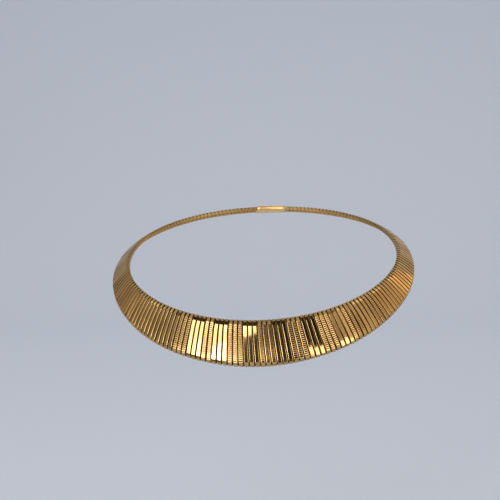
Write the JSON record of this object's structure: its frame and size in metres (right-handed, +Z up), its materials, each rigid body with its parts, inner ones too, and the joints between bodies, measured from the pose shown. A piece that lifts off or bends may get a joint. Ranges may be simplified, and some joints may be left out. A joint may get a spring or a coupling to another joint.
{
  "type": "collar choker necklace",
  "caption": "Graduated metal collar worn at the base of the neck: a loop of narrow upright links, tall at the front and short at the nape, polished and engraved by turns.",
  "frame": {"origin": "the middle of the neck hollow, at the height of the creased top edge halfway between front and nape", "axes": "+X to the wearer's left, +Y to the wearer's back, +Z up as worn, with the front at -Y and 18 degrees lower than the nape"},
  "size_m": [0.142, 0.1246, 0.0547],
  "materials": {
    "polished_gold": "polished gold plate",
    "engraved_gold": "finely cross-engraved satin gold plate",
    "clasp_gold": "plain brushed gold plate"
  },
  "bodies": {
    "root": {"links_01": "polished_gold", "links_02": "polished_gold", "links_03": "polished_gold", "links_04": "polished_gold", "links_05": "polished_gold", "links_06": "polished_gold", "links_07": "polished_gold", "links_08": "polished_gold", "links_09": "polished_gold", "links_10": "polished_gold", "links_11": "polished_gold", "links_12": "polished_gold", "links_13": "polished_gold", "links_14": "polished_gold", "clasp": "clasp_gold"}
  },
  "joints": []
}
